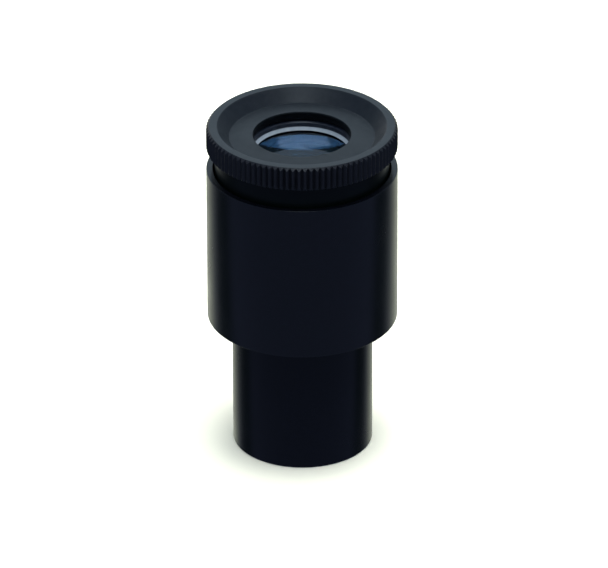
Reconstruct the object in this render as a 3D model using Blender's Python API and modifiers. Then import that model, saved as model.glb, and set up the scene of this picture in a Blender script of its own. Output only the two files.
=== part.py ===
"""Telescope eyepiece with a focusing eye lens and a reticle, as it comes apart on a bench.

It stands on the end of its barrel at z = 0, with the optical axis on +Z and the eye lens on top.
The knurled ring screws up and down in the housing. It carries the lens cell, which slides in the
housing without turning, because a guide screw at the back (+Y) runs in a slot of the cell.
"""

import math

import bmesh
import bpy
from mathutils import Matrix

MM = 0.001

# Driving dimensions, in millimetres.
BARREL_R = 12.25
BARREL_BORE_R = 11.05
BARREL_LENGTH = 24.4
BARREL_ENGAGEMENT = 5.2
BODY_R = 16.6
BODY_TOP = 53.0
LIP_R = 11.6
SLEEVE_R = 15.15
COLLAR_R = 13.95
RING_R = 16.6
RING_BOTTOM = 56.9
RING_TOP = 61.15
KNURL_TEETH = 98
KNURL_DEPTH = 0.46
RIM_CHAMFER = 0.52
RIM_INNER_R = 14.75
FUNNEL_R = 12.6
FUNNEL_DEPTH = 2.1
OPENING_R = 8.4
OPENING_DEPTH = 1.7
CELL_BORE_R = 9.9
CELL_R = 12.0
CELL_NECK_R = 10.9
FLANGE_R = 13.9
LENS_R = 9.6
LENS_CLEAR_R = 8.6
TRAVEL_DOWN = 3.6
TRAVEL_UP = 1.6
EDGE_BREAK = 0.25
GAP = 0.3

# Levels that follow from them.
LIP_BOTTOM = BARREL_LENGTH + BARREL_ENGAGEMENT + GAP
LIP_TOP = LIP_BOTTOM + 1.4
CELL_BOTTOM = LIP_TOP + TRAVEL_DOWN + 0.5
GUIDE_R = 1.0
GUIDE_Z = CELL_BOTTOM + TRAVEL_UP + GUIDE_R + 1.3
SET_SCREW_R = 0.65
SET_SCREW_Z = 55.5
STEP_Z = GUIDE_Z + 1.7
SLEEVE_BOTTOM = STEP_Z + TRAVEL_DOWN + 0.4
SLEEVE_TOP = RING_BOTTOM - GAP
SEAT_Z = 52.3
FLANGE_BOTTOM = SEAT_Z + 1.0
FLANGE_TOP = FLANGE_BOTTOM + 0.8
COLLAR_BOTTOM = FLANGE_TOP + GAP
CELL_TOP = 57.65
EYE_LENS_TOP = 55.7
EYE_LENS_BOTTOM = EYE_LENS_TOP - 0.7
RETICLE_Z = 19.8

FINE = 64
COARSE = 32

parts = bpy.data.collections.new("telescope_eyepiece")
cutters = bpy.data.collections.new("cutters")


def clear_scene():
    for obj in list(bpy.data.objects):
        bpy.data.objects.remove(obj, do_unlink=True)
    for collection in (parts, cutters):
        bpy.context.scene.collection.children.link(collection)


def material(name, colour, roughness, metallic, alpha=1.0):
    made = bpy.data.materials.new(name)
    made.use_nodes = True
    shader = made.node_tree.nodes["Principled BSDF"]
    shader.inputs["Base Color"].default_value = (*colour, 1.0)
    shader.inputs["Roughness"].default_value = roughness
    shader.inputs["Metallic"].default_value = metallic
    shader.inputs["Alpha"].default_value = alpha
    return made


def black_metal(name, roughness=0.35):
    return material(name, (0.012, 0.013, 0.018), roughness, 0.4)


def glass(name, tint):
    return material(name, tint, 0.03, 0.0, 0.35)


def link(mesh, name, collection):
    obj = bpy.data.objects.new(name, mesh)
    collection.objects.link(obj)
    return obj


def settle(obj):
    """Turns the evaluated shape into the object's own mesh, smooth but for its sharp edges."""
    graph = bpy.context.evaluated_depsgraph_get()
    mesh = bpy.data.meshes.new_from_object(obj.evaluated_get(graph))
    obj.modifiers.clear()
    obj.data = mesh
    mesh.name = obj.name
    mesh.shade_smooth()
    mesh.set_sharp_from_angle(angle=math.radians(25))


def turned(name, profile, look, segments=COARSE, closed=True):
    """A turned piece. The profile lists (radius, height) down the outer side, then back up inside."""
    mesh = bpy.data.meshes.new(name)
    points = [(radius * MM, 0.0, height * MM) for radius, height in profile]
    edges = [(i, i + 1) for i in range(len(points) - 1)]
    if closed:
        edges.append((len(points) - 1, 0))
    mesh.from_pydata(points, edges, [])
    obj = link(mesh, name, parts)
    screw = obj.modifiers.new("turn", "SCREW")
    screw.axis = "Z"
    screw.steps = screw.render_steps = segments
    screw.use_merge_vertices = True
    screw.merge_threshold = 0.00001
    settle(obj)
    obj.data.materials.append(look)
    return obj


def tube(name, inner, outer, bottom, top, look, segments=COARSE, edge=0.0):
    """A plain ring or tube, with its outer edges broken by the given width."""
    profile = [(outer, top - edge), (outer, bottom + edge)]
    if edge:
        profile += [(outer - edge, bottom)]
    profile += [(inner, bottom), (inner, top)]
    if edge:
        profile += [(outer - edge, top)]
    return turned(name, profile, look, segments)


def dome(rim_radius, sag, rim_z, steps=4):
    """Points of a spherical surface from the axis to its rim. Positive sag bulges upwards."""
    sphere = (rim_radius**2 + sag**2) / (2 * abs(sag))
    up = math.copysign(1.0, sag)
    points = []
    for i in range(steps + 1):
        radius = rim_radius * i / steps
        rise = math.sqrt(sphere**2 - radius**2) - (sphere - abs(sag))
        points.append((radius, rim_z + up * rise))
    return points


def lens(name, radius, top_edge, top_sag, bottom_edge, bottom_sag, look):
    """A glass element: its top surface, a ground edge, then its bottom surface back to the axis."""
    bottom = dome(radius, bottom_sag, bottom_edge)
    profile = dome(radius, top_sag, top_edge) + bottom[::-1]
    return turned(name, profile, look, closed=False)


def radial_cutter(name, radius, z, start, end, segments=20, height=0.0):
    """A cutter lying along +Y from start to end. A height makes it a slot that runs up from z."""
    bm = bmesh.new()
    bmesh.ops.create_cone(
        bm,
        cap_ends=True,
        segments=segments,
        radius1=radius * MM,
        radius2=radius * MM,
        depth=(end - start) * MM,
    )
    bmesh.ops.rotate(bm, verts=bm.verts, matrix=Matrix.Rotation(-math.pi / 2, 3, "X"))
    for vert in bm.verts:
        vert.co.y += (start + end) / 2 * MM
        vert.co.z += (z + (height if vert.co.z > 0 else 0.0)) * MM
    return finish_cutter(bm, name)


def finish_cutter(bm, name):
    bmesh.ops.recalc_face_normals(bm, faces=bm.faces)
    mesh = bpy.data.meshes.new(name)
    bm.to_mesh(mesh)
    bm.free()
    obj = link(mesh, name, cutters)
    obj.hide_render = True
    obj.display_type = "WIRE"
    return obj


def cut(obj, cutter):
    boolean = obj.modifiers.new(cutter.name, "BOOLEAN")
    boolean.operation = "DIFFERENCE"
    boolean.solver = "EXACT"
    boolean.object = cutter
    settle(obj)


def grub_screw(name, radius, z, tip, head, look, tip_share=0.7):
    """A headless screw along +Y, with a hexagon socket in its outer end."""
    tip_radius = radius * tip_share
    length = head - tip
    profile = [
        (0.0, length),
        (radius - 0.15, length),
        (radius, length - 0.15),
        (radius, length * 0.4),
        (tip_radius, length * 0.4 - 0.2),
        (tip_radius, 0.0),
        (0.0, 0.0),
    ]
    obj = turned(name, profile, look, segments=20, closed=False)
    stand_up = Matrix.Rotation(-math.pi / 2, 4, "X")
    obj.data.transform(Matrix.Translation((0.0, tip * MM, z * MM)) @ stand_up)
    depth = length * 0.3
    cut(obj, radial_cutter(name + "_socket", radius * 0.5, z, head - depth, head + 1.0, 6))
    return obj


def knurl_cutter():
    """A sleeve around the ring whose inner wall carries the grooves of the straight knurl."""
    bm = bmesh.new()
    low, high = (RING_BOTTOM - 1) * MM, (RING_TOP + 1) * MM
    loops = []
    for height in (low, high):
        outer, inner = [], []
        for i in range(2 * KNURL_TEETH):
            angle = math.pi * i / KNURL_TEETH
            direction = Matrix.Rotation(angle, 3, "Z")
            radius = RING_R if i % 2 else RING_R - KNURL_DEPTH
            outer.append(bm.verts.new(direction.col[0] * (RING_R + 3) * MM))
            inner.append(bm.verts.new(direction.col[0] * radius * MM))
            outer[-1].co.z = inner[-1].co.z = height
        loops.append((outer, inner))
    (low_out, low_in), (high_out, high_in) = loops
    for a, b in ((low_out, high_out), (high_out, high_in), (high_in, low_in), (low_in, low_out)):
        for i in range(len(a)):
            j = (i + 1) % len(a)
            bm.faces.new((a[i], a[j], b[j], b[i]))
    return finish_cutter(bm, "knurl")


def make_focus_ring():
    """The knurled ring: a chamfered rim, a funnel, a floor that rises to the opening, a collar.

    The blank is turned a little too wide, and the knurl brings it down to size.
    """
    spare = 0.4
    profile = [
        (RING_R - RIM_CHAMFER, RING_TOP),
        (RING_R + spare, RING_TOP - RIM_CHAMFER - spare),
        (RING_R + spare, RING_BOTTOM + EDGE_BREAK + spare),
        (RING_R - EDGE_BREAK, RING_BOTTOM),
        (COLLAR_R, RING_BOTTOM),
        (COLLAR_R, COLLAR_BOTTOM),
        (COLLAR_R - 0.9, COLLAR_BOTTOM),
        (COLLAR_R - 0.9, CELL_TOP + GAP),
        (OPENING_R + 0.1, CELL_TOP + GAP),
        (OPENING_R, RING_TOP - OPENING_DEPTH - 0.2),
        (OPENING_R + 0.15, RING_TOP - OPENING_DEPTH),
        (FUNNEL_R, RING_TOP - FUNNEL_DEPTH),
        (RIM_INNER_R - 0.15, RING_TOP - 0.1),
        (RIM_INNER_R, RING_TOP),
    ]
    ring = turned("focus_ring", profile, black_metal("ring_satin_black", 0.5), FINE)
    cut(ring, knurl_cutter())
    cut(ring, radial_cutter("set_screw_seat", SET_SCREW_R + GAP, SET_SCREW_Z, COLLAR_R - 0.5, 16.0, 12))


def make_focus_sleeve():
    """The turning sleeve below the ring: the dark neck, with a groove for the seal."""
    groove_bottom = SLEEVE_BOTTOM + 1.2
    profile = [
        (SLEEVE_R, SLEEVE_TOP),
        (SLEEVE_R, groove_bottom + 1.6),
        (SLEEVE_R - 1.2, groove_bottom + 1.6),
        (SLEEVE_R - 1.2, groove_bottom),
        (SLEEVE_R, groove_bottom),
        (SLEEVE_R, SLEEVE_BOTTOM + 0.3),
        (SLEEVE_R - 0.3, SLEEVE_BOTTOM),
        (CELL_R + GAP, SLEEVE_BOTTOM),
        (CELL_R + GAP, SEAT_Z),
        (COLLAR_R + GAP, SEAT_Z),
        (COLLAR_R + GAP, SLEEVE_TOP),
    ]
    sleeve = turned("focus_sleeve", profile, black_metal("sleeve_black"), FINE)
    cut(sleeve, radial_cutter("set_screw_hole", SET_SCREW_R + GAP, SET_SCREW_Z, COLLAR_R, 16.0, 12))
    steel = material("set_screw_steel", (0.05, 0.05, 0.055), 0.4, 0.9)
    grub_screw("ring_set_screw", SET_SCREW_R, SET_SCREW_Z, COLLAR_R - 0.2, SLEEVE_R - 0.1, steel)

    seal_z = groove_bottom + 0.8
    seal_r = SLEEVE_R - 0.4
    circle = [
        (seal_r + 0.5 * math.cos(angle), seal_z - 0.5 * math.sin(angle))
        for angle in (math.tau * i / 8 for i in range(8))
    ]
    turned("damping_o_ring", circle, material("seal_rubber", (0.02, 0.02, 0.02), 0.7, 0.0))
    brass = material("washer_brass", (0.5, 0.36, 0.14), 0.3, 1.0)
    tube("slip_washer", CELL_R + GAP, FLANGE_R, SEAT_Z + GAP, SEAT_Z + 0.7, brass)


def make_lens_cell():
    """The sliding tube that holds the optics, with its flange and the slot for the guide screw."""
    profile = [
        (CELL_NECK_R, CELL_TOP),
        (CELL_NECK_R, FLANGE_TOP),
        (FLANGE_R, FLANGE_TOP),
        (FLANGE_R, FLANGE_BOTTOM),
        (CELL_R, FLANGE_BOTTOM),
        (CELL_R, CELL_BOTTOM),
        (CELL_R - 0.9, CELL_BOTTOM),
        (CELL_BORE_R, CELL_BOTTOM + 2.0),
        (CELL_BORE_R, CELL_TOP),
    ]
    cell = turned("lens_cell", profile, black_metal("cell_black"), 48)
    slot_r = GUIDE_R + 0.15
    slot = radial_cutter(
        "guide_slot", slot_r, GUIDE_Z - TRAVEL_UP, 9.0, 13.0, 20, TRAVEL_UP + TRAVEL_DOWN
    )
    cut(cell, slot)

    cone_bottom = EYE_LENS_TOP + GAP
    retainer = [
        (LENS_R, CELL_TOP - 0.1),
        (LENS_R, cone_bottom),
        (LENS_CLEAR_R - 0.5, cone_bottom),
        (LENS_CLEAR_R, cone_bottom + 0.5),
        (LENS_CLEAR_R, CELL_TOP - 0.45),
        (LENS_CLEAR_R + 0.35, CELL_TOP - 0.1),
    ]
    turned("eye_lens_retainer", retainer, black_metal("retainer_black"), 48)
    coated = glass("coated_glass", (0.3, 0.5, 0.6))
    lens("eye_lens", LENS_R, EYE_LENS_TOP, 0.2, EYE_LENS_BOTTOM, -1.5, coated)
    spacer_top = EYE_LENS_BOTTOM - GAP
    spacer_bottom = spacer_top - 3.9
    tube("lens_spacer", LENS_CLEAR_R, LENS_R, spacer_bottom, spacer_top, black_metal("spacer_black"))
    flint_top = spacer_bottom - GAP
    flint_bottom = flint_top - 2.3
    flint = glass("flint_glass", (0.4, 0.5, 0.55))
    lens("doublet_flint", LENS_R, flint_top, 0.4, flint_bottom, 1.6, flint)
    crown_top = flint_bottom - GAP
    crown_bottom = crown_top - 1.0
    crown = glass("crown_glass", (0.45, 0.55, 0.6))
    lens("doublet_crown", LENS_R, crown_top, 1.6, crown_bottom, -1.2, crown)
    lock_top = crown_bottom - GAP
    tube("cell_lock_ring", LENS_CLEAR_R, LENS_R, lock_top - 1.6, lock_top, black_metal("lock_ring_black"))


def make_housing():
    """The wide body, with the bores for the sleeve, the cell and the barrel."""
    profile = [
        (BODY_R - EDGE_BREAK, BODY_TOP),
        (BODY_R, BODY_TOP - EDGE_BREAK),
        (BODY_R, BARREL_LENGTH + EDGE_BREAK),
        (BODY_R - EDGE_BREAK, BARREL_LENGTH),
        (BARREL_R + GAP, BARREL_LENGTH),
        (BARREL_R + GAP, LIP_BOTTOM),
        (LIP_R, LIP_BOTTOM),
        (LIP_R, LIP_TOP),
        (CELL_R + GAP, LIP_TOP),
        (CELL_R + GAP, STEP_Z),
        (SLEEVE_R + GAP, STEP_Z),
        (SLEEVE_R + GAP, BODY_TOP),
    ]
    housing = turned("housing", profile, black_metal("body_gloss_black", 0.25), FINE)
    cut(housing, radial_cutter("guide_screw_hole", GUIDE_R + GAP, GUIDE_Z, 11.0, 18.0))
    lock_z = BARREL_LENGTH + 2.7
    cut(housing, radial_cutter("lock_screw_hole", GUIDE_R + GAP, lock_z, 11.8, 18.0))
    steel = material("screw_steel", (0.05, 0.05, 0.055), 0.4, 0.9)
    grub_screw("guide_screw", GUIDE_R, GUIDE_Z, CELL_BORE_R + 0.6, BODY_R - 0.3, steel, 0.95)
    grub_screw("barrel_lock_screw", GUIDE_R, lock_z, BARREL_R + GAP, BODY_R - 0.3, steel)


def make_barrel():
    """The push-fit tube, with the reticle group and the baffle in its bore."""
    top = BARREL_LENGTH + BARREL_ENGAGEMENT
    profile = [
        (BARREL_R - 0.4, top),
        (BARREL_R, top - 0.4),
        (BARREL_R, EDGE_BREAK),
        (BARREL_R - EDGE_BREAK, 0.0),
        (BARREL_BORE_R + 0.2, 0.0),
        (BARREL_BORE_R, 0.2),
        (BARREL_BORE_R, top),
    ]
    turned("barrel", profile, black_metal("barrel_gloss_black", 0.25), FINE)

    outer = BARREL_BORE_R - GAP
    seat = [
        (outer, RETICLE_Z + 4.2),
        (outer, RETICLE_Z - 3.8),
        (9.6, RETICLE_Z - 3.8),
        (9.6, RETICLE_Z + 1.8),
        (8.2, RETICLE_Z + 1.8),
        (8.2, RETICLE_Z + 2.8),
        (9.6, RETICLE_Z + 2.8),
        (9.6, RETICLE_Z + 4.2),
    ]
    turned("reticle_cell", seat, black_metal("reticle_cell_black"))
    stop = [
        (9.3, RETICLE_Z + 3.9),
        (9.3, RETICLE_Z + 3.1),
        (7.6, RETICLE_Z + 3.1),
        (7.6, RETICLE_Z + 3.2),
        (8.6, RETICLE_Z + 3.9),
    ]
    turned("field_stop", stop, black_metal("stop_black", 0.6))
    disc = [(0.0, RETICLE_Z + 1.5), (9.3, RETICLE_Z + 1.5), (9.3, RETICLE_Z), (0.0, RETICLE_Z)]
    turned("reticle", disc, glass("reticle_glass", (0.5, 0.6, 0.6)), closed=False)
    lock_top = RETICLE_Z - GAP
    tube("reticle_lock_ring", 8.2, 9.3, lock_top - 1.9, lock_top, black_metal("reticle_ring_black"))
    tube("glare_baffle", 9.0, outer, 6.0, 7.2, black_metal("baffle_black", 0.6))


def place_joint_origins():
    """The pieces that turn or slide hang under empties that stand on the optical axis."""
    carried = {
        "lens_cell_axis": [
            "lens_cell",
            "eye_lens_retainer",
            "eye_lens",
            "lens_spacer",
            "doublet_flint",
            "doublet_crown",
            "cell_lock_ring",
        ],
        "focus_ring_axis": [
            "focus_ring",
            "focus_sleeve",
            "ring_set_screw",
            "slip_washer",
            "damping_o_ring",
        ],
    }
    for name, children in carried.items():
        axis = link(None, name, parts)
        for child in children:
            bpy.data.objects[child].parent = axis


def main():
    clear_scene()
    make_focus_ring()
    make_focus_sleeve()
    make_lens_cell()
    make_housing()
    make_barrel()
    place_joint_origins()


main()
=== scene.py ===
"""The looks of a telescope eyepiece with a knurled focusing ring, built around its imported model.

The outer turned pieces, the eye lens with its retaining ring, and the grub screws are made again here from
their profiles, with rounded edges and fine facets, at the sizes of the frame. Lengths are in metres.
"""

import math

import bmesh
import bpy
from mathutils import Matrix, Vector


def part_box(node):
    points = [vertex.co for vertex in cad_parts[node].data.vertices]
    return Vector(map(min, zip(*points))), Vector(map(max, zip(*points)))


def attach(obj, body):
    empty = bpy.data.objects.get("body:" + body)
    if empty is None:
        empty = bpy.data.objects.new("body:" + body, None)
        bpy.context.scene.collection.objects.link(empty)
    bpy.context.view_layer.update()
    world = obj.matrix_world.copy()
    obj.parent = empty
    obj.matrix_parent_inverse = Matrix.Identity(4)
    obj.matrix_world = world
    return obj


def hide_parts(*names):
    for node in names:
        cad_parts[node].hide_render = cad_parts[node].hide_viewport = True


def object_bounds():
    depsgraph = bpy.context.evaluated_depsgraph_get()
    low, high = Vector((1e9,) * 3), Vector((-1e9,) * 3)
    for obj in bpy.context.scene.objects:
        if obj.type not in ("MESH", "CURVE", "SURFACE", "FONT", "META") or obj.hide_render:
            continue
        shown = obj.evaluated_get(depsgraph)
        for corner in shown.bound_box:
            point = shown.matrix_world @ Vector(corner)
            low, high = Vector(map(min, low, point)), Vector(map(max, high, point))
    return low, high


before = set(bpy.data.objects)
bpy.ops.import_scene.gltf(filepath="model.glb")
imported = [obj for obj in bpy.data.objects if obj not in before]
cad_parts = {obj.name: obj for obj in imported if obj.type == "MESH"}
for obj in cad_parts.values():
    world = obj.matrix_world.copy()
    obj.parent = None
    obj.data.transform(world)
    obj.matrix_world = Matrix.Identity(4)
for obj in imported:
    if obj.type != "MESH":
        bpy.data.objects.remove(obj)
cad_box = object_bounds()

MM = 0.001
SEGMENTS = 192
# Edges sharper than this stay sharp in the shading.
SHARP_EDGE = math.radians(35)
# The clearance that the frame's pieces keep to each other.
GAP = 0.3 * MM

# The focusing ring.
KNURL_TEETH = 98
KNURL_COLUMNS = 12
KNURL_DEPTH = 0.46 * MM
# The part of each tooth's pitch that its crest takes.
KNURL_CREST = 0.1
RIM_CHAMFER = 0.52 * MM
RIM_INNER_R = 14.75 * MM
FUNNEL_R = 12.6 * MM
FUNNEL_DEPTH = 2.1 * MM
OPENING_R = 8.4 * MM
OPENING_DEPTH = 1.7 * MM
COLLAR_WALL = 0.9 * MM

# The sleeve, the body and the barrel.
SEAL_DEPTH = 1.2 * MM
SEAL_HEIGHT = 1.6 * MM
CELL_BORE_R = 12.3 * MM
FLANGE_BORE_R = 14.25 * MM
BARREL_SOCKET = 5.5 * MM
BODY_WEB = 1.4 * MM
BODY_WEB_R = 11.6 * MM
BARREL_BORE_R = 11.05 * MM
SCREW_HOLE_R = 1.15 * MM
RING_SCREW_HOLE_R = 0.75 * MM

# The eye lens and its retaining ring.
LENS_EDGE = 0.7 * MM
LENS_TOP_SAG = 0.2 * MM
LENS_BOTTOM_SAG = 1.5 * MM
RETAINER_BORE_R = 8.6 * MM
RETAINER_CONE = 0.5 * MM
RETAINER_LEAD_IN = 0.35 * MM

# The depth of the surface marks: a lathe's, and a bead-blasted grain.
LATHE = 0.002 * MM
GRAIN = 0.01 * MM

# The floor's half width, and the distances at which its own glow starts and is full.
STAGE_REACH = 2.5
GLOW_START = 0.4
GLOW_FULL = 1.0
# The height that the lamps look at.
AIM_HEIGHT = 0.04

# The room's colour by how directly a way points at the bright wall, which rises behind.
WALL_RISE = math.radians(30.0)
WALL_STOPS = [
    (0.45, (0.1, 0.14, 0.24)),
    (0.76, (0.16, 0.2, 0.24)),
    (0.93, (0.5, 0.62, 0.72)),
]
# The floor's reflected colour, from the camera's side (0) to the back.
GROUND_STOPS = [
    (0.0, (0.11, 0.14, 0.24)),
    (0.2, (0.03, 0.045, 0.055)),
    (0.45, (0.04, 0.055, 0.075)),
    (0.6, (0.22, 0.25, 0.29)),
    (0.74, (0.6, 0.65, 0.55)),
    (0.85, (0.8, 0.84, 0.72)),
]


# ---------------------------------------------------------------- shapes


def arc_corner(before, corner, after, radius, steps=5):
    """Points that round a profile's corner with the given radius."""
    corner = Vector(corner)
    to_before = (Vector(before) - corner).normalized()
    to_after = (Vector(after) - corner).normalized()
    half = to_before.angle(to_after) / 2
    reach = min(radius / math.tan(half), 0.49 * (Vector(before) - corner).length)
    reach = min(reach, 0.49 * (Vector(after) - corner).length)
    fitted = reach * math.tan(half)
    centre = corner + (to_before + to_after).normalized() * (fitted / math.sin(half))
    start = corner + to_before * reach - centre
    end = corner + to_after * reach - centre
    sweep = start.angle_signed(end)
    points = []
    for i in range(steps + 1):
        turn = Matrix.Rotation(-sweep * i / steps, 2)
        points.append(tuple(centre + turn @ start))
    return points


def rounded(profile, closed=True):
    """The profile's points (radius, height, corner radius), with the corners rounded."""
    points = []
    count = len(profile)
    for i, (radius, height, fillet) in enumerate(profile):
        inner = closed or 0 < i < count - 1
        if not (inner and fillet):
            points.append((radius, height))
            continue
        before, after = profile[i - 1], profile[(i + 1) % count]
        points += arc_corner(before[:2], (radius, height), after[:2], fillet)
    return points


def turned(name, profile, closed=True, segments=SEGMENTS):
    """A mesh turned about Z. The profile is a list of points, or gives one for each angle."""
    bm = bmesh.new()
    columns = []
    poles = {}
    for i in range(segments):
        angle = math.tau * i / segments
        points = profile(angle) if callable(profile) else profile
        column = []
        for j, (radius, height) in enumerate(points):
            if radius > 1e-7:
                place = (radius * math.cos(angle), radius * math.sin(angle), height)
                column.append(bm.verts.new(place))
                continue
            if j not in poles:
                poles[j] = bm.verts.new((0.0, 0.0, height))
            column.append(poles[j])
        columns.append(column)
    count = len(columns[0])
    for i in range(segments):
        here, there = columns[i], columns[(i + 1) % segments]
        for j in range(count if closed else count - 1):
            k = (j + 1) % count
            corners = dict.fromkeys((here[j], there[j], there[k], here[k]))
            bm.faces.new(list(corners))
    bmesh.ops.recalc_face_normals(bm, faces=bm.faces)
    mesh = bpy.data.meshes.new(name)
    bm.to_mesh(mesh)
    bm.free()
    mesh.shade_smooth()
    mesh.set_sharp_from_angle(angle=SHARP_EDGE)
    piece = bpy.data.objects.new(name, mesh)
    bpy.context.scene.collection.objects.link(piece)
    return piece


def dish(rim_radius, sag, rim_height, steps=14):
    """Points of a spherical surface from the axis out to its rim. Positive sag bulges upwards."""
    sphere = (rim_radius**2 + sag**2) / (2 * abs(sag))
    up = math.copysign(1.0, sag)
    points = []
    for i in range(steps + 1):
        radius = rim_radius * i / steps
        rise = math.sqrt(sphere**2 - radius**2) - (sphere - abs(sag))
        points.append((radius, rim_height + up * rise))
    return points


def drill(piece, radius, height, start, end, sides=48):
    """Cuts a radial hole along +Y, from start to end."""
    bm = bmesh.new()
    bmesh.ops.create_cone(
        bm, cap_ends=True, segments=sides, radius1=radius, radius2=radius, depth=end - start
    )
    turn = Matrix.Rotation(-math.pi / 2, 4, "X")
    place = Matrix.Translation((0.0, (start + end) / 2, height))
    bmesh.ops.transform(bm, matrix=place @ turn, verts=bm.verts)
    mesh = bpy.data.meshes.new("drill")
    bm.to_mesh(mesh)
    bm.free()
    tool = bpy.data.objects.new("drill", mesh)
    bpy.context.scene.collection.objects.link(tool)
    modifier = piece.modifiers.new("hole", "BOOLEAN")
    modifier.operation = "DIFFERENCE"
    modifier.solver = "EXACT"
    modifier.object = tool
    graph = bpy.context.evaluated_depsgraph_get()
    drilled = bpy.data.meshes.new_from_object(piece.evaluated_get(graph))
    piece.modifiers.clear()
    piece.data = drilled
    drilled.shade_smooth()
    drilled.set_sharp_from_angle(angle=SHARP_EDGE)
    bpy.data.objects.remove(tool, do_unlink=True)


# ---------------------------------------------------------------- materials


class Nodes:
    """A material's node tree, with short calls to add and join nodes."""

    def __init__(self, name):
        self.material = bpy.data.materials.new(name)
        self.material.use_nodes = True
        self.tree = self.material.node_tree
        self.shader = self.tree.nodes["Principled BSDF"]

    def add(self, kind, **settings):
        node = self.tree.nodes.new(kind)
        for key, value in settings.items():
            setattr(node, key, value)
        return node

    def join(self, source, target):
        self.tree.links.new(source, target)

    def math(self, operation, first, second=None):
        node = self.add("ShaderNodeMath", operation=operation)
        for socket, value in zip(node.inputs, (first, second)):
            if isinstance(value, (int, float)):
                socket.default_value = value
            elif value is not None:
                self.join(value, socket)
        return node.outputs[0]

    def noise(self, vector, scale, detail=3.0, roughness=0.55):
        node = self.add("ShaderNodeTexNoise")
        node.inputs["Scale"].default_value = scale
        node.inputs["Detail"].default_value = detail
        node.inputs["Roughness"].default_value = roughness
        self.join(vector, node.inputs["Vector"])
        return node.outputs["Fac"]

    def ramp(self, value, low, high, low_at=0.3, high_at=0.7):
        """Goes from low to high while the value goes from low_at to high_at."""
        node = self.add("ShaderNodeMapRange")
        node.inputs["From Min"].default_value = low_at
        node.inputs["From Max"].default_value = high_at
        node.inputs["To Min"].default_value = low
        node.inputs["To Max"].default_value = high
        self.join(value, node.inputs["Value"])
        return node.outputs["Result"]

    def mix(self, factor, first, second):
        """A colour between two, by the factor."""
        node = self.add("ShaderNodeMix", data_type="RGBA")
        self.join(factor, node.inputs["Factor"])
        node.inputs[6].default_value = (*first, 1.0)
        node.inputs[7].default_value = (*second, 1.0)
        return node.outputs[2]

    def bump(self, height, distance, strength=1.0, normal=None):
        node = self.add("ShaderNodeBump")
        node.inputs["Distance"].default_value = distance
        node.inputs["Strength"].default_value = strength
        self.join(height, node.inputs["Height"])
        if normal is not None:
            self.join(normal, node.inputs["Normal"])
        return node.outputs["Normal"]

    def turning_space(self):
        """(radius, height, a little of the angle), which makes noise into lathe marks."""
        place = self.add("ShaderNodeTexCoord").outputs["Object"]
        split = self.add("ShaderNodeSeparateXYZ")
        self.join(place, split.inputs[0])
        x, y, z = split.outputs
        radius = self.math("SQRT", self.math("ADD", self.math("POWER", x, 2), self.math("POWER", y, 2)))
        angle = self.math("MULTIPLY", self.math("ARCTAN2", y, x), 0.0006)
        joined = self.add("ShaderNodeCombineXYZ")
        for source, socket in zip((radius, z, angle), joined.inputs):
            self.join(source, socket)
        return place, joined.outputs[0]


def anodised(name, dark, light, rough_low, rough_high, grain=0.0, lathe=0.0, specular=0.5):
    """Black anodised aluminium: mottled colour, lathe marks and a bead-blasted grain."""
    made = Nodes(name)
    place, lathe_space = made.turning_space()
    mottle = made.noise(place, 900.0, 4.0)
    shader = made.shader
    made.join(made.mix(made.ramp(mottle, 0.0, 1.0), dark, light), shader.inputs["Base Color"])
    wear = made.noise(place, 140.0, 3.0)
    made.join(made.ramp(wear, rough_low, rough_high), shader.inputs["Roughness"])
    shader.inputs["Specular IOR Level"].default_value = specular
    normal = None
    if lathe:
        normal = made.bump(made.noise(lathe_space, 9000.0, 2.0), lathe)
    if grain:
        normal = made.bump(made.noise(place, 6000.0, 2.0), grain, normal=normal)
    if normal is not None:
        made.join(normal, shader.inputs["Normal"])
    return made.material


def coated_glass(name, reflection, body, ior=1.52):
    """Polished glass with faint smears. The coating tints its reflection, and the body its view."""
    made = Nodes(name)
    shader = made.shader
    place = made.add("ShaderNodeTexCoord").outputs["Object"]
    smear = made.noise(place, 220.0, 3.0)
    made.join(made.ramp(smear, 0.012, 0.03), shader.inputs["Roughness"])
    shader.inputs["Base Color"].default_value = (*body, 1.0)
    shader.inputs["Transmission Weight"].default_value = 1.0
    shader.inputs["IOR"].default_value = ior
    shader.inputs["Specular Tint"].default_value = (*reflection, 1.0)
    return made.material


def bare_metal(name, colour, roughness):
    """Turned metal: uneven tone and lathe marks, twice as deep as on the anodised pieces."""
    made = Nodes(name)
    place, lathe_space = made.turning_space()
    tone = made.noise(place, 700.0)
    darker = tuple(0.7 * c for c in colour)
    made.join(made.mix(made.ramp(tone, 0.0, 1.0), darker, colour), made.shader.inputs["Base Color"])
    made.join(made.ramp(tone, roughness, roughness + 0.15), made.shader.inputs["Roughness"])
    made.shader.inputs["Metallic"].default_value = 1.0
    made.join(made.bump(made.noise(lathe_space, 7000.0), 2 * LATHE), made.shader.inputs["Normal"])
    return made.material


def rubber(name):
    """Matt black rubber with a fine skin."""
    made = Nodes(name)
    place = made.add("ShaderNodeTexCoord").outputs["Object"]
    tone = made.noise(place, 1500.0)
    made.join(made.mix(tone, (0.01, 0.01, 0.01), (0.03, 0.03, 0.03)), made.shader.inputs["Base Color"])
    made.join(made.bump(tone, GRAIN), made.shader.inputs["Normal"])
    made.shader.inputs["Roughness"].default_value = 0.7
    return made.material


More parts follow.
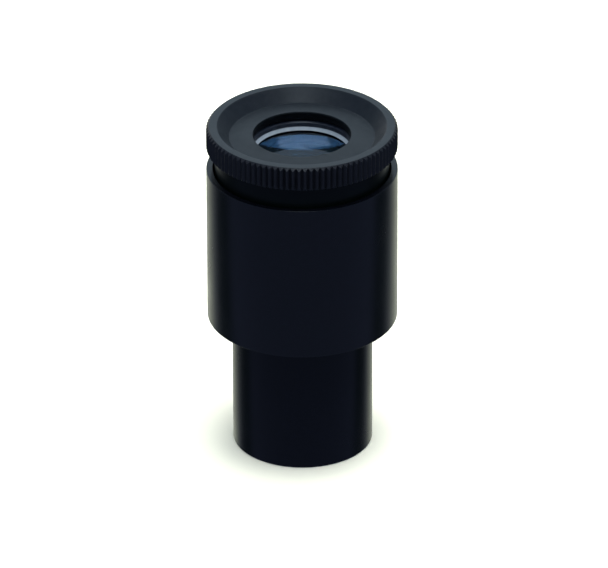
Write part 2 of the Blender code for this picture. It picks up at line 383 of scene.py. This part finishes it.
BODY_BLACK = anodised("body_black", (0.0008, 0.001, 0.002), (0.0015, 0.002, 0.004), 0.2, 0.28, lathe=LATHE)
RING_BLACK = anodised(
    "ring_black", (0.004, 0.006, 0.0085), (0.007, 0.0095, 0.0125), 0.36, 0.46, grain=GRAIN, specular=0.4
)
# The flat rim's finish is a lighter, glossier copy of the ring's: a painted highlight for the sheen along
# its crest.
RIM_PAINTED_HIGHLIGHT = anodised(
    "rim_painted_highlight", (0.006, 0.0085, 0.011), (0.009, 0.012, 0.0155), 0.34, 0.42, grain=GRAIN, specular=0.55
)
KNURL_BLACK = anodised(
    "knurl_black", (0.005, 0.006, 0.008), (0.008, 0.009, 0.012), 0.35, 0.45, grain=GRAIN, specular=0.4
)
BORE_BLACK = anodised(
    "bore_black", (0.0012, 0.002, 0.0026), (0.0022, 0.0034, 0.0045), 0.6, 0.7, specular=0.2
)
# The sleeve's finish is a duller, greener copy of the body's: painted shade for the neck in the shadow
# under the ring.
SLEEVE_PAINTED_SHADE = anodised(
    "sleeve_black", (0.0012, 0.003, 0.0018), (0.002, 0.0045, 0.003), 0.3, 0.4, specular=0.2
)
BARREL_BLACK = anodised(
    "barrel_black", (0.0015, 0.002, 0.0035), (0.0025, 0.0032, 0.006), 0.2, 0.28, lathe=LATHE, specular=0.33
)
INNER_BLACK = anodised("inner_black", (0.003, 0.003, 0.0035), (0.006, 0.006, 0.007), 0.5, 0.65)
RETAINER_BLACK = anodised("retainer_black", (0.016, 0.021, 0.03), (0.028, 0.036, 0.05), 0.3, 0.4)
LENS_GLASS = coated_glass("coated_glass", (0.03, 0.08, 0.25), (0.5, 0.65, 0.75))
# The lower surface has a smaller index, which weakens its mirror image of the room.
LENS_BACK = coated_glass("coated_back", (0.55, 0.8, 1.0), (0.4, 0.62, 0.8), ior=1.36)
CLEAR_GLASS = coated_glass("clear_glass", (0.03, 0.06, 0.1), (0.8, 0.92, 1.0))
# A pale grey copy of the anodised finish for the retaining ring's cone: a painted highlight that makes the
# bright crescent.
CONE_PAINTED_HIGHLIGHT = anodised("cone_painted_highlight", (0.19, 0.235, 0.275), (0.25, 0.3, 0.35), 0.45, 0.55)
SCREW_STEEL = bare_metal("screw_steel", (0.06, 0.06, 0.065), 0.3)
BRASS = bare_metal("washer_brass", (0.62, 0.42, 0.15), 0.25)
SEAL_RUBBER = rubber("seal_rubber")


# ---------------------------------------------------------------- pieces


def placed(piece, look, body, slot_name, *nodes):
    """Gives a piece its material, the body that it rides on, and the nodes that it stands for."""
    piece.data.materials.clear()
    piece.data.materials.append(look)
    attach(piece, body)
    if nodes:
        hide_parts(*nodes)
    return piece


def knurl_reach(angle, radius):
    """The reach of the knurled edge at an angle: narrow crests with V grooves between them."""
    phase = angle * KNURL_TEETH / math.tau % 1.0
    width = 1.0 - KNURL_CREST
    groove = min(max((width - 2 * abs(phase - 0.5)) / width, 0.0), 1.0)
    return radius - KNURL_DEPTH * groove


def make_ring():
    """The focusing ring: flat rim, chamfered knurl, funnel, round opening, and a collar below."""
    low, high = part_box("focus_ring")
    radius, top, collar_bottom = high.x, high.z, low.z
    collar_r = FLANGE_BORE_R - GAP
    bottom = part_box("focus_sleeve")[1].z + GAP
    web_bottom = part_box("lens_cell")[1].z + GAP
    rim_r = radius - RIM_CHAMFER
    inner = [
        (collar_r, bottom, 0.0),
        (collar_r, collar_bottom, 0.1 * MM),
        (collar_r - COLLAR_WALL, collar_bottom, 0.1 * MM),
        (collar_r - COLLAR_WALL, web_bottom, 0.0),
        (OPENING_R + 0.1 * MM, web_bottom, 0.0),
        (OPENING_R, top - OPENING_DEPTH - 0.2 * MM, 0.08 * MM),
        (OPENING_R + 0.15 * MM, top - OPENING_DEPTH, 0.12 * MM),
        (FUNNEL_R, top - FUNNEL_DEPTH, 0.25 * MM),
        (RIM_INNER_R - 0.15 * MM, top - 0.1 * MM, 0.1 * MM),
        (RIM_INNER_R, top, 0.1 * MM),
    ]
    made = {}

    def profile(angle):
        reach = round(knurl_reach(angle, radius), 8)
        if reach not in made:
            bevel = max(reach - radius + 0.25 * MM, 0.05 * MM)
            outer = [
                (rim_r, top, 0.06 * MM),
                (reach, top - (reach - rim_r), 0.05 * MM),
                (reach, bottom + bevel, 0.06 * MM),
                (reach - bevel, bottom, 0.05 * MM),
            ]
            made[reach] = rounded(outer + inner)
        return made[reach]

    piece = turned("knurled_ring", profile, segments=KNURL_TEETH * KNURL_COLUMNS)
    placed(piece, RING_BLACK, "ring", "ring_black", "focus_ring")
    for look in (KNURL_BLACK, BORE_BLACK, RIM_PAINTED_HIGHLIGHT):
        piece.data.materials.append(look)
    for face in piece.data.polygons:
        reach = math.hypot(*face.center[:2])
        if reach > rim_r + 0.04 * MM:
            face.material_index = 1
        elif reach < OPENING_R + 0.1 * MM and face.center.z < top - OPENING_DEPTH - 0.1 * MM:
            face.material_index = 2
        elif reach > RIM_INNER_R and face.center.z > top - 0.03 * MM:
            # The flat rim takes the lighter copy of the finish, a painted highlight.
            face.material_index = 3
    return piece


def make_sleeve():
    """The threaded sleeve below the ring, with the groove of its seal ring near its lower end."""
    low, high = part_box("focus_sleeve")
    radius, top, bottom = high.x, high.z, low.z
    groove = bottom + 1.2 * MM
    groove_top = groove + SEAL_HEIGHT
    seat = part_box("slip_washer")[0].z - GAP
    profile = [
        (radius, top, 0.1 * MM),
        (radius, groove_top, 0.05 * MM),
        (radius - SEAL_DEPTH, groove_top, 0.1 * MM),
        (radius - SEAL_DEPTH, groove, 0.1 * MM),
        (radius, groove, 0.05 * MM),
        (radius, bottom, 0.3 * MM),
        (CELL_BORE_R, bottom, 0.1 * MM),
        (CELL_BORE_R, seat, 0.05 * MM),
        (FLANGE_BORE_R, seat, 0.05 * MM),
        (FLANGE_BORE_R, top, 0.05 * MM),
    ]
    piece = turned("threaded_sleeve", rounded(profile))
    screw_low, screw_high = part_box("ring_set_screw")
    middle = (screw_low.z + screw_high.z) / 2
    drill(piece, RING_SCREW_HOLE_R, middle, start=13.6 * MM, end=16.0 * MM)
    # The sleeve takes the duller copy of the body's finish, painted shade under the ring.
    return placed(piece, SLEEVE_PAINTED_SHADE, "ring", "body_black", "focus_sleeve")


def make_housing():
    """The wide body: the barrel's socket below, a web over it, and the sleeve's bore on top."""
    low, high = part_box("housing")
    radius, top, bottom = high.x, high.z, low.z
    barrel_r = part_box("barrel")[1].x + GAP
    sleeve_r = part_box("focus_sleeve")[1].x + GAP
    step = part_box("focus_sleeve")[0].z - 4.0 * MM
    web = bottom + BARREL_SOCKET
    profile = [
        (radius, top, 0.1 * MM),
        (radius, bottom, 0.25 * MM),
        (barrel_r, bottom, 0.1 * MM),
        (barrel_r, web, 0.0),
        (BODY_WEB_R, web, 0.1 * MM),
        (BODY_WEB_R, web + BODY_WEB, 0.1 * MM),
        (CELL_BORE_R, web + BODY_WEB, 0.0),
        (CELL_BORE_R, step, 0.1 * MM),
        (sleeve_r, step, 0.0),
        (sleeve_r, top, 0.12 * MM),
    ]
    piece = turned("turned_housing", rounded(profile))
    for name in ("guide_screw", "barrel_lock_screw"):
        screw_low, screw_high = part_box(name)
        middle = (screw_low.z + screw_high.z) / 2
        drill(piece, SCREW_HOLE_R, middle, start=11.0 * MM, end=18.0 * MM)
    return placed(piece, BODY_BLACK, "body", "body_black", "housing")


def make_barrel():
    """The push-fit tube, a plain one with broken edges."""
    low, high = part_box("barrel")
    radius, top = high.x, high.z
    profile = [
        (radius, top, 0.4 * MM),
        (radius, low.z, 0.3 * MM),
        (BARREL_BORE_R, low.z, 0.2 * MM),
        (BARREL_BORE_R, top, 0.1 * MM),
    ]
    piece = turned("push_fit_barrel", rounded(profile))
    return placed(piece, BARREL_BLACK, "body", "body_black", "barrel")


def make_lens():
    """The eye lens and the ring that holds it, whose satin cone is coloured pale grey: a painted highlight
    for the bright crescent.
    """
    ring_low, ring_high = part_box("eye_lens_retainer")
    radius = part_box("eye_lens")[1].x
    edge_top = ring_low.z - GAP
    edge_bottom = edge_top - LENS_EDGE
    top = dish(radius, LENS_TOP_SAG, edge_top)
    bottom = dish(radius, -LENS_BOTTOM_SAG, edge_bottom)
    glass = turned("eye_lens_glass", top + bottom[::-1], closed=False, segments=96)
    placed(glass, LENS_GLASS, "cell", "coated_glass", "eye_lens")
    glass.data.materials.append(LENS_BACK)
    for face in glass.data.polygons:
        if face.center.z < edge_bottom:
            face.material_index = 1

    bore, cone_top = RETAINER_BORE_R, ring_low.z + RETAINER_CONE
    profile = [
        (ring_high.x, ring_high.z, 0.05 * MM),
        (ring_high.x, ring_low.z, 0.0),
        (bore - RETAINER_CONE, ring_low.z, 0.0),
        (bore, cone_top, 0.05 * MM),
        (bore, ring_high.z - RETAINER_LEAD_IN, 0.08 * MM),
        (bore + RETAINER_LEAD_IN, ring_high.z, 0.08 * MM),
    ]
    retainer = turned("lens_retaining_ring", rounded(profile))
    placed(retainer, RETAINER_BLACK, "cell", "inner_black", "eye_lens_retainer")
    retainer.data.materials.append(CONE_PAINTED_HIGHLIGHT)
    # The cone's faces take the pale grey copy, a painted highlight.
    for face in retainer.data.polygons:
        if face.center.z < cone_top and math.hypot(*face.center[:2]) < bore - 0.01 * MM:
            face.material_index = 1
    return glass


def make_screw(name, piece_name, body):
    """A grub screw with a rounded edge and a hexagon socket, lying along +Y."""
    low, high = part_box(name)
    radius, middle = high.x, (low.z + high.z) / 2
    tip, head = low.y, high.y
    length = head - tip
    profile = [
        (0.0, length, 0.0),
        (radius - 0.15 * MM, length, 0.05 * MM),
        (radius, length - 0.15 * MM, 0.05 * MM),
        (radius, 0.3 * length, 0.0),
        (0.7 * radius, 0.0, 0.05 * MM),
        (0.0, 0.0, 0.0),
    ]
    piece = turned(piece_name, rounded(profile, closed=False), closed=False, segments=64)
    stand = Matrix.Rotation(-math.pi / 2, 4, "X")
    piece.data.transform(Matrix.Translation((0.0, tip, middle)) @ stand)
    drill(piece, 0.5 * radius, middle, head - 0.35 * length, head + 1.0 * MM, sides=6)
    return placed(piece, SCREW_STEEL, body, "screw_steel", name)


def dress_inner_nodes():
    """The pieces inside keep their shape from the frame and take a finish."""
    looks = {
        "lens_cell": INNER_BLACK,
        "lens_spacer": INNER_BLACK,
        "cell_lock_ring": INNER_BLACK,
        "reticle_cell": INNER_BLACK,
        "field_stop": INNER_BLACK,
        "reticle_lock_ring": INNER_BLACK,
        "glare_baffle": INNER_BLACK,
        "doublet_flint": CLEAR_GLASS,
        "doublet_crown": CLEAR_GLASS,
        "reticle": CLEAR_GLASS,
        "slip_washer": BRASS,
        "damping_o_ring": SEAL_RUBBER,
    }
    for name, look in looks.items():
        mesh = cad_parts[name].data
        mesh.materials.clear()
        mesh.materials.append(look)
        mesh.shade_smooth()
        mesh.set_sharp_from_angle(angle=math.radians(25))


# ---------------------------------------------------------------- stage


def make_camera():
    """A long lens from the front, 28 degrees above the floor and rolled by a hair."""
    elevation = math.radians(28.3)
    roll = math.radians(-0.15)
    distance = 1.4
    target = Vector((0.00029, 0.0, 0.03))
    data = bpy.data.cameras.new("camera")
    data.sensor_width = 36.0
    data.lens = 474.8
    data.clip_start = 0.05
    camera = bpy.data.objects.new("camera", data)
    bpy.context.scene.collection.objects.link(camera)
    away = Vector((0.0, -math.cos(elevation), math.sin(elevation)))
    turn = Matrix.Rotation(math.pi / 2 - elevation, 4, "X") @ Matrix.Rotation(roll, 4, "Z")
    camera.matrix_world = Matrix.Translation(target + away * distance) @ turn
    bpy.context.scene.camera = camera


def make_floor():
    """A white floor. Far from the eyepiece, where the lamps don't reach, it glows a little."""
    bm = bmesh.new()
    bmesh.ops.create_grid(bm, x_segments=8, y_segments=8, size=STAGE_REACH)
    mesh = bpy.data.meshes.new("floor")
    bm.to_mesh(mesh)
    bm.free()
    floor = bpy.data.objects.new("floor", mesh)
    floor.location.z = cad_box[0].z
    bpy.context.scene.collection.objects.link(floor)
    made = Nodes("floor_white")
    place = made.add("ShaderNodeTexCoord").outputs["Object"]
    tone = made.noise(place, 30.0)
    made.join(made.mix(tone, (0.92, 0.92, 0.77), (0.94, 0.94, 0.79)), made.shader.inputs["Base Color"])
    made.shader.inputs["Roughness"].default_value = 0.9
    made.shader.inputs["Specular IOR Level"].default_value = 0.0
    reach = made.add("ShaderNodeVectorMath", operation="LENGTH")
    made.join(place, reach.inputs[0])
    glow = made.ramp(reach.outputs["Value"], 0.0, 1.0, GLOW_START, GLOW_FULL)
    made.join(glow, made.shader.inputs["Emission Strength"])
    made.shader.inputs["Emission Color"].default_value = (1.0, 1.0, 1.0, 1.0)
    mesh.materials.append(made.material)
    floor.visible_glossy = False
    floor.visible_diffuse = False
    floor.visible_transmission = False


def make_cove():
    """The pale studio wall behind the floor, on every side. Only the camera sees it."""
    radius = 0.95 * STAGE_REACH
    wall = [(radius, cad_box[0].z), (radius, 1.5), (0.5 * STAGE_REACH, 2.3), (0.0, 2.5)]
    cove = turned("studio_cove", wall, closed=False, segments=64)
    made = Nodes("cove_white")
    place = made.add("ShaderNodeTexCoord").outputs["Object"]
    made.shader.inputs["Base Color"].default_value = (0.0, 0.0, 0.0, 1.0)
    made.shader.inputs["Specular IOR Level"].default_value = 0.0
    made.shader.inputs["Emission Color"].default_value = (1.0, 1.0, 1.0, 1.0)
    made.join(made.ramp(made.noise(place, 1.5), 1.0, 1.05), made.shader.inputs["Emission Strength"])
    cove.data.materials.append(made.material)
    cove.visible_glossy = False
    cove.visible_diffuse = False
    cove.visible_transmission = False
    cove.visible_shadow = False


def softbox(name, azimuth, elevation, distance, size, watts, colour=(1.0, 1.0, 1.0)):
    """An area light that looks at the eyepiece. Azimuth 0 is the camera's side, 90 is +X."""
    data = bpy.data.lights.new(name, "AREA")
    data.shape = "RECTANGLE"
    data.size, data.size_y = size
    data.energy = watts
    data.color = colour
    light = bpy.data.objects.new(name, data)
    bpy.context.scene.collection.objects.link(light)
    a, e = math.radians(azimuth), math.radians(elevation)
    way = Vector((math.sin(a) * math.cos(e), -math.cos(a) * math.cos(e), math.sin(e)))
    light.location = Vector((0.0, 0.0, AIM_HEIGHT)) + way * distance
    light.rotation_euler = way.to_track_quat("Z", "Y").to_euler()
    return light


def make_world():
    """A dim bluish room with a bright wall behind. Below the horizon it stands for the floor."""
    world = bpy.data.worlds.new("studio")
    world.use_nodes = True
    tree = world.node_tree

    def ramp(value, stops):
        node = tree.nodes.new("ShaderNodeValToRGB")
        elements = node.color_ramp.elements
        for i, (at, colour) in enumerate(stops):
            stop = elements[i] if i < 2 else elements.new(at)
            stop.position = at
            stop.color = (*colour, 1.0)
        tree.links.new(value, node.inputs["Fac"])
        return node.outputs["Color"]

    way = tree.nodes.new("ShaderNodeTexCoord").outputs["Generated"]
    split = tree.nodes.new("ShaderNodeSeparateXYZ")
    tree.links.new(way, split.inputs[0])
    wall = tree.nodes.new("ShaderNodeVectorMath")
    wall.operation = "DOT_PRODUCT"
    wall.inputs[1].default_value = (0.0, math.cos(WALL_RISE), math.sin(WALL_RISE))
    tree.links.new(way, wall.inputs[0])
    room = ramp(wall.outputs["Value"], WALL_STOPS)
    ground = ramp(split.outputs["Y"], GROUND_STOPS)
    height = tree.nodes.new("ShaderNodeMapRange")
    height.inputs["From Min"].default_value = -0.15
    height.inputs["From Max"].default_value = 0.0
    tree.links.new(split.outputs["Z"], height.inputs["Value"])
    both = tree.nodes.new("ShaderNodeMix")
    both.data_type = "RGBA"
    tree.links.new(height.outputs["Result"], both.inputs["Factor"])
    tree.links.new(ground, both.inputs[6])
    tree.links.new(room, both.inputs[7])
    tree.links.new(both.outputs[2], tree.nodes["Background"].inputs["Color"])
    bpy.context.scene.world = world


def make_lights(glass):
    """The lamps. The last two light only the eye lens, and are the window that it mirrors."""
    overhead = softbox("overhead", 80.0, 83.0, 1.1, (0.8, 0.8), 12.0)
    fill = softbox("floor_fill", 200.0, 84.0, 1.2, (1.4, 1.4), 18.0)
    for light in (overhead, fill):
        light.visible_glossy = False
        light.visible_transmission = False
    softbox("front_top", 0.0, 62.0, 1.0, (0.4, 0.4), 1.25, (0.78, 0.93, 1.0))
    softbox("left_wall", 206.0, 6.0, 1.2, (0.5, 0.35), 0.41)
    window = softbox("window", 184.0, 71.5, 1.1, (0.95, 0.74), 16.0, (1.0, 0.85, 0.95))
    glow = softbox("window_glow", 180.0, 71.5, 1.3, (3.0, 1.15), 53.0, (0.33, 0.6, 1.0))
    receivers = bpy.data.collections.new("window_receivers")
    receivers.objects.link(glass)
    for light in (window, glow):
        light.light_linking.receiver_collection = receivers


make_camera()
make_floor()
make_cove()
make_world()
make_ring()
make_sleeve()
make_housing()
make_barrel()
make_lights(make_lens())
make_screw("guide_screw", "guide_grub_screw", "body")
make_screw("barrel_lock_screw", "barrel_grub_screw", "body")
make_screw("ring_set_screw", "ring_grub_screw", "ring")
dress_inner_nodes()
bpy.context.scene.view_settings.view_transform = "Standard"
